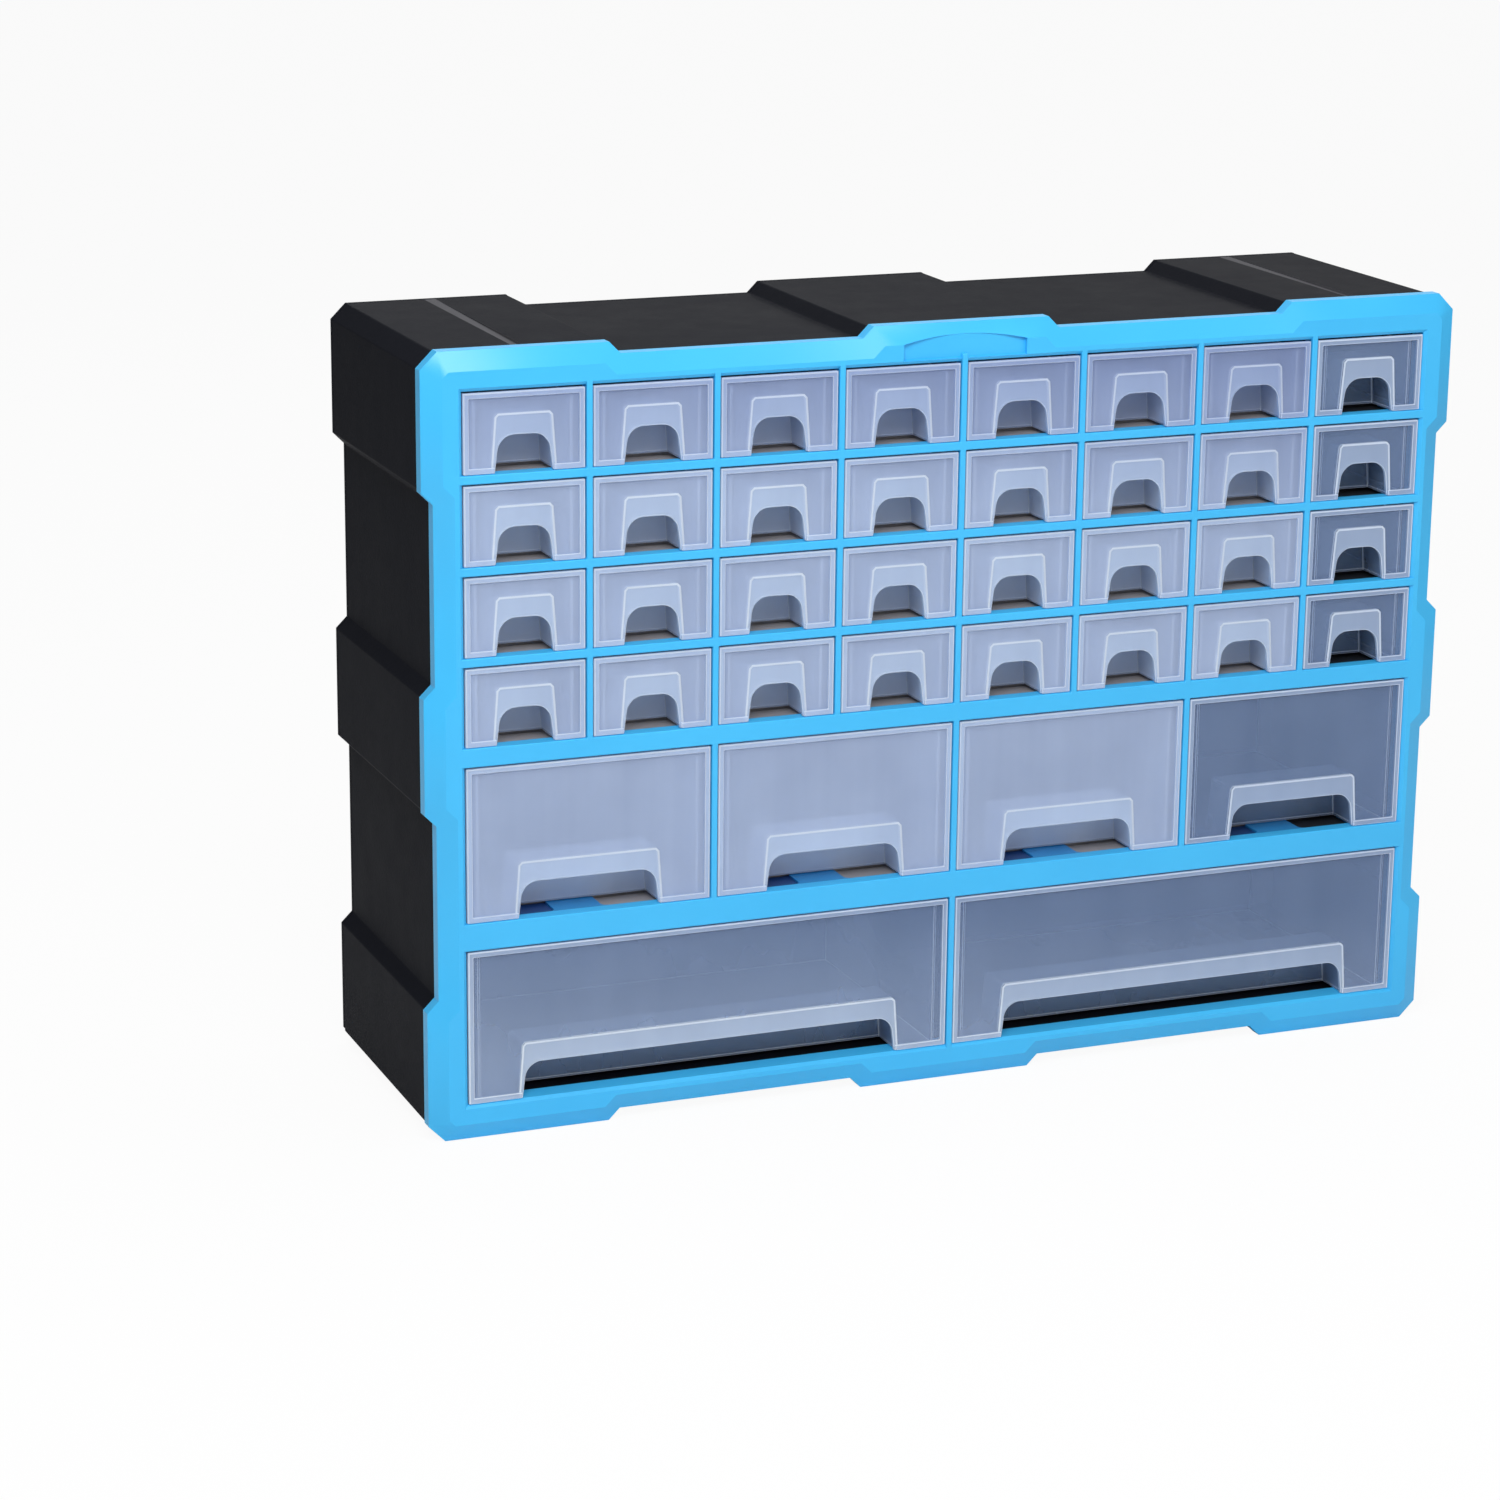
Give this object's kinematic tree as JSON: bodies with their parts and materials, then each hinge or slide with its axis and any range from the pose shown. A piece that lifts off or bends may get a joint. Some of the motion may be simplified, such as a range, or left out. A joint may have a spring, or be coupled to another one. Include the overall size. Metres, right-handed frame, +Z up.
{
  "type": "parts bin cabinet",
  "caption": "Wide storage cabinet with a banded housing, a moulded front frame and translucent sliding drawers in three widths, each with an arched finger pocket.",
  "frame": {"origin": "on the surface the cabinet stands on, below the middle of its width and depth", "axes": "+Z up, -Y out of the drawer fronts, +X to the right of someone facing the drawers"},
  "size_m": [0.52, 0.15, 0.3681],
  "materials": {
    "frame_blue": "satin moulded plastic, light blue",
    "housing_black": "matt moulded plastic, black",
    "shelf_grey": "matt plastic, warm grey",
    "drawer_clear": "frosted translucent plastic"
  },
  "bodies": {
    "cabinet": {"front_frame": "frame_blue", "frame_grid_1": "frame_blue", "frame_grid_2": "frame_blue", "frame_grid_3": "frame_blue", "frame_grid_4": "frame_blue", "frame_grid_5": "frame_blue", "housing_left": "housing_black", "housing_right": "housing_black", "housing_top": "housing_black", "housing_bottom": "housing_black", "back_panel": "housing_black", "small_shelf_1": "shelf_grey", "small_shelf_2": "shelf_grey", "small_shelf_3": "shelf_grey", "small_shelf_4": "shelf_grey", "medium_shelf": "shelf_grey", "base_shelf": "housing_black"},
    "small_drawer_r1_c1": {"small_drawer_r1_c1": "drawer_clear"},
    "small_drawer_r1_c2": {"small_drawer_r1_c2": "drawer_clear"},
    "small_drawer_r1_c3": {"small_drawer_r1_c3": "drawer_clear"},
    "small_drawer_r1_c4": {"small_drawer_r1_c4": "drawer_clear"},
    "small_drawer_r1_c5": {"small_drawer_r1_c5": "drawer_clear"},
    "small_drawer_r1_c6": {"small_drawer_r1_c6": "drawer_clear"},
    "small_drawer_r1_c7": {"small_drawer_r1_c7": "drawer_clear"},
    "small_drawer_r1_c8": {"small_drawer_r1_c8": "drawer_clear"},
    "small_drawer_r2_c1": {"small_drawer_r2_c1": "drawer_clear"},
    "small_drawer_r2_c2": {"small_drawer_r2_c2": "drawer_clear"},
    "small_drawer_r2_c3": {"small_drawer_r2_c3": "drawer_clear"},
    "small_drawer_r2_c4": {"small_drawer_r2_c4": "drawer_clear"},
    "small_drawer_r2_c5": {"small_drawer_r2_c5": "drawer_clear"},
    "small_drawer_r2_c6": {"small_drawer_r2_c6": "drawer_clear"},
    "small_drawer_r2_c7": {"small_drawer_r2_c7": "drawer_clear"},
    "small_drawer_r2_c8": {"small_drawer_r2_c8": "drawer_clear"},
    "small_drawer_r3_c1": {"small_drawer_r3_c1": "drawer_clear"},
    "small_drawer_r3_c2": {"small_drawer_r3_c2": "drawer_clear"},
    "small_drawer_r3_c3": {"small_drawer_r3_c3": "drawer_clear"},
    "small_drawer_r3_c4": {"small_drawer_r3_c4": "drawer_clear"},
    "small_drawer_r3_c5": {"small_drawer_r3_c5": "drawer_clear"},
    "small_drawer_r3_c6": {"small_drawer_r3_c6": "drawer_clear"},
    "small_drawer_r3_c7": {"small_drawer_r3_c7": "drawer_clear"},
    "small_drawer_r3_c8": {"small_drawer_r3_c8": "drawer_clear"},
    "small_drawer_r4_c1": {"small_drawer_r4_c1": "drawer_clear"},
    "small_drawer_r4_c2": {"small_drawer_r4_c2": "drawer_clear"},
    "small_drawer_r4_c3": {"small_drawer_r4_c3": "drawer_clear"},
    "small_drawer_r4_c4": {"small_drawer_r4_c4": "drawer_clear"},
    "small_drawer_r4_c5": {"small_drawer_r4_c5": "drawer_clear"},
    "small_drawer_r4_c6": {"small_drawer_r4_c6": "drawer_clear"},
    "small_drawer_r4_c7": {"small_drawer_r4_c7": "drawer_clear"},
    "small_drawer_r4_c8": {"small_drawer_r4_c8": "drawer_clear"},
    "medium_drawer_1": {"medium_drawer_1": "drawer_clear"},
    "medium_drawer_2": {"medium_drawer_2": "drawer_clear"},
    "medium_drawer_3": {"medium_drawer_3": "drawer_clear"},
    "medium_drawer_4": {"medium_drawer_4": "drawer_clear"},
    "large_drawer_1": {"large_drawer_1": "drawer_clear"},
    "large_drawer_2": {"large_drawer_2": "drawer_clear"}
  },
  "joints": [
    {"name": "small_drawer_r1_c1_slide", "type": "slide", "parent": "cabinet", "child": "small_drawer_r1_c1", "axis": [0, -1, 0], "range_m": [0, 0.105]},
    {"name": "small_drawer_r1_c2_slide", "type": "slide", "parent": "cabinet", "child": "small_drawer_r1_c2", "axis": [0, -1, 0], "range_m": [0, 0.105]},
    {"name": "small_drawer_r1_c3_slide", "type": "slide", "parent": "cabinet", "child": "small_drawer_r1_c3", "axis": [0, -1, 0], "range_m": [0, 0.105]},
    {"name": "small_drawer_r1_c4_slide", "type": "slide", "parent": "cabinet", "child": "small_drawer_r1_c4", "axis": [0, -1, 0], "range_m": [0, 0.105]},
    {"name": "small_drawer_r1_c5_slide", "type": "slide", "parent": "cabinet", "child": "small_drawer_r1_c5", "axis": [0, -1, 0], "range_m": [0, 0.105]},
    {"name": "small_drawer_r1_c6_slide", "type": "slide", "parent": "cabinet", "child": "small_drawer_r1_c6", "axis": [0, -1, 0], "range_m": [0, 0.105]},
    {"name": "small_drawer_r1_c7_slide", "type": "slide", "parent": "cabinet", "child": "small_drawer_r1_c7", "axis": [0, -1, 0], "range_m": [0, 0.105]},
    {"name": "small_drawer_r1_c8_slide", "type": "slide", "parent": "cabinet", "child": "small_drawer_r1_c8", "axis": [0, -1, 0], "range_m": [0, 0.105]},
    {"name": "small_drawer_r2_c1_slide", "type": "slide", "parent": "cabinet", "child": "small_drawer_r2_c1", "axis": [0, -1, 0], "range_m": [0, 0.105]},
    {"name": "small_drawer_r2_c2_slide", "type": "slide", "parent": "cabinet", "child": "small_drawer_r2_c2", "axis": [0, -1, 0], "range_m": [0, 0.105]},
    {"name": "small_drawer_r2_c3_slide", "type": "slide", "parent": "cabinet", "child": "small_drawer_r2_c3", "axis": [0, -1, 0], "range_m": [0, 0.105]},
    {"name": "small_drawer_r2_c4_slide", "type": "slide", "parent": "cabinet", "child": "small_drawer_r2_c4", "axis": [0, -1, 0], "range_m": [0, 0.105]},
    {"name": "small_drawer_r2_c5_slide", "type": "slide", "parent": "cabinet", "child": "small_drawer_r2_c5", "axis": [0, -1, 0], "range_m": [0, 0.105]},
    {"name": "small_drawer_r2_c6_slide", "type": "slide", "parent": "cabinet", "child": "small_drawer_r2_c6", "axis": [0, -1, 0], "range_m": [0, 0.105]},
    {"name": "small_drawer_r2_c7_slide", "type": "slide", "parent": "cabinet", "child": "small_drawer_r2_c7", "axis": [0, -1, 0], "range_m": [0, 0.105]},
    {"name": "small_drawer_r2_c8_slide", "type": "slide", "parent": "cabinet", "child": "small_drawer_r2_c8", "axis": [0, -1, 0], "range_m": [0, 0.105]},
    {"name": "small_drawer_r3_c1_slide", "type": "slide", "parent": "cabinet", "child": "small_drawer_r3_c1", "axis": [0, -1, 0], "range_m": [0, 0.105]},
    {"name": "small_drawer_r3_c2_slide", "type": "slide", "parent": "cabinet", "child": "small_drawer_r3_c2", "axis": [0, -1, 0], "range_m": [0, 0.105]},
    {"name": "small_drawer_r3_c3_slide", "type": "slide", "parent": "cabinet", "child": "small_drawer_r3_c3", "axis": [0, -1, 0], "range_m": [0, 0.105]},
    {"name": "small_drawer_r3_c4_slide", "type": "slide", "parent": "cabinet", "child": "small_drawer_r3_c4", "axis": [0, -1, 0], "range_m": [0, 0.105]},
    {"name": "small_drawer_r3_c5_slide", "type": "slide", "parent": "cabinet", "child": "small_drawer_r3_c5", "axis": [0, -1, 0], "range_m": [0, 0.105]},
    {"name": "small_drawer_r3_c6_slide", "type": "slide", "parent": "cabinet", "child": "small_drawer_r3_c6", "axis": [0, -1, 0], "range_m": [0, 0.105]},
    {"name": "small_drawer_r3_c7_slide", "type": "slide", "parent": "cabinet", "child": "small_drawer_r3_c7", "axis": [0, -1, 0], "range_m": [0, 0.105]},
    {"name": "small_drawer_r3_c8_slide", "type": "slide", "parent": "cabinet", "child": "small_drawer_r3_c8", "axis": [0, -1, 0], "range_m": [0, 0.105]},
    {"name": "small_drawer_r4_c1_slide", "type": "slide", "parent": "cabinet", "child": "small_drawer_r4_c1", "axis": [0, -1, 0], "range_m": [0, 0.105]},
    {"name": "small_drawer_r4_c2_slide", "type": "slide", "parent": "cabinet", "child": "small_drawer_r4_c2", "axis": [0, -1, 0], "range_m": [0, 0.105]},
    {"name": "small_drawer_r4_c3_slide", "type": "slide", "parent": "cabinet", "child": "small_drawer_r4_c3", "axis": [0, -1, 0], "range_m": [0, 0.105]},
    {"name": "small_drawer_r4_c4_slide", "type": "slide", "parent": "cabinet", "child": "small_drawer_r4_c4", "axis": [0, -1, 0], "range_m": [0, 0.105]},
    {"name": "small_drawer_r4_c5_slide", "type": "slide", "parent": "cabinet", "child": "small_drawer_r4_c5", "axis": [0, -1, 0], "range_m": [0, 0.105]},
    {"name": "small_drawer_r4_c6_slide", "type": "slide", "parent": "cabinet", "child": "small_drawer_r4_c6", "axis": [0, -1, 0], "range_m": [0, 0.105]},
    {"name": "small_drawer_r4_c7_slide", "type": "slide", "parent": "cabinet", "child": "small_drawer_r4_c7", "axis": [0, -1, 0], "range_m": [0, 0.105]},
    {"name": "small_drawer_r4_c8_slide", "type": "slide", "parent": "cabinet", "child": "small_drawer_r4_c8", "axis": [0, -1, 0], "range_m": [0, 0.105]},
    {"name": "medium_drawer_1_slide", "type": "slide", "parent": "cabinet", "child": "medium_drawer_1", "axis": [0, -1, 0], "range_m": [0, 0.105]},
    {"name": "medium_drawer_2_slide", "type": "slide", "parent": "cabinet", "child": "medium_drawer_2", "axis": [0, -1, 0], "range_m": [0, 0.105]},
    {"name": "medium_drawer_3_slide", "type": "slide", "parent": "cabinet", "child": "medium_drawer_3", "axis": [0, -1, 0], "range_m": [0, 0.105]},
    {"name": "medium_drawer_4_slide", "type": "slide", "parent": "cabinet", "child": "medium_drawer_4", "axis": [0, -1, 0], "range_m": [0, 0.105]},
    {"name": "large_drawer_1_slide", "type": "slide", "parent": "cabinet", "child": "large_drawer_1", "axis": [0, -1, 0], "range_m": [0, 0.105]},
    {"name": "large_drawer_2_slide", "type": "slide", "parent": "cabinet", "child": "large_drawer_2", "axis": [0, -1, 0], "range_m": [0, 0.105]}
  ]
}
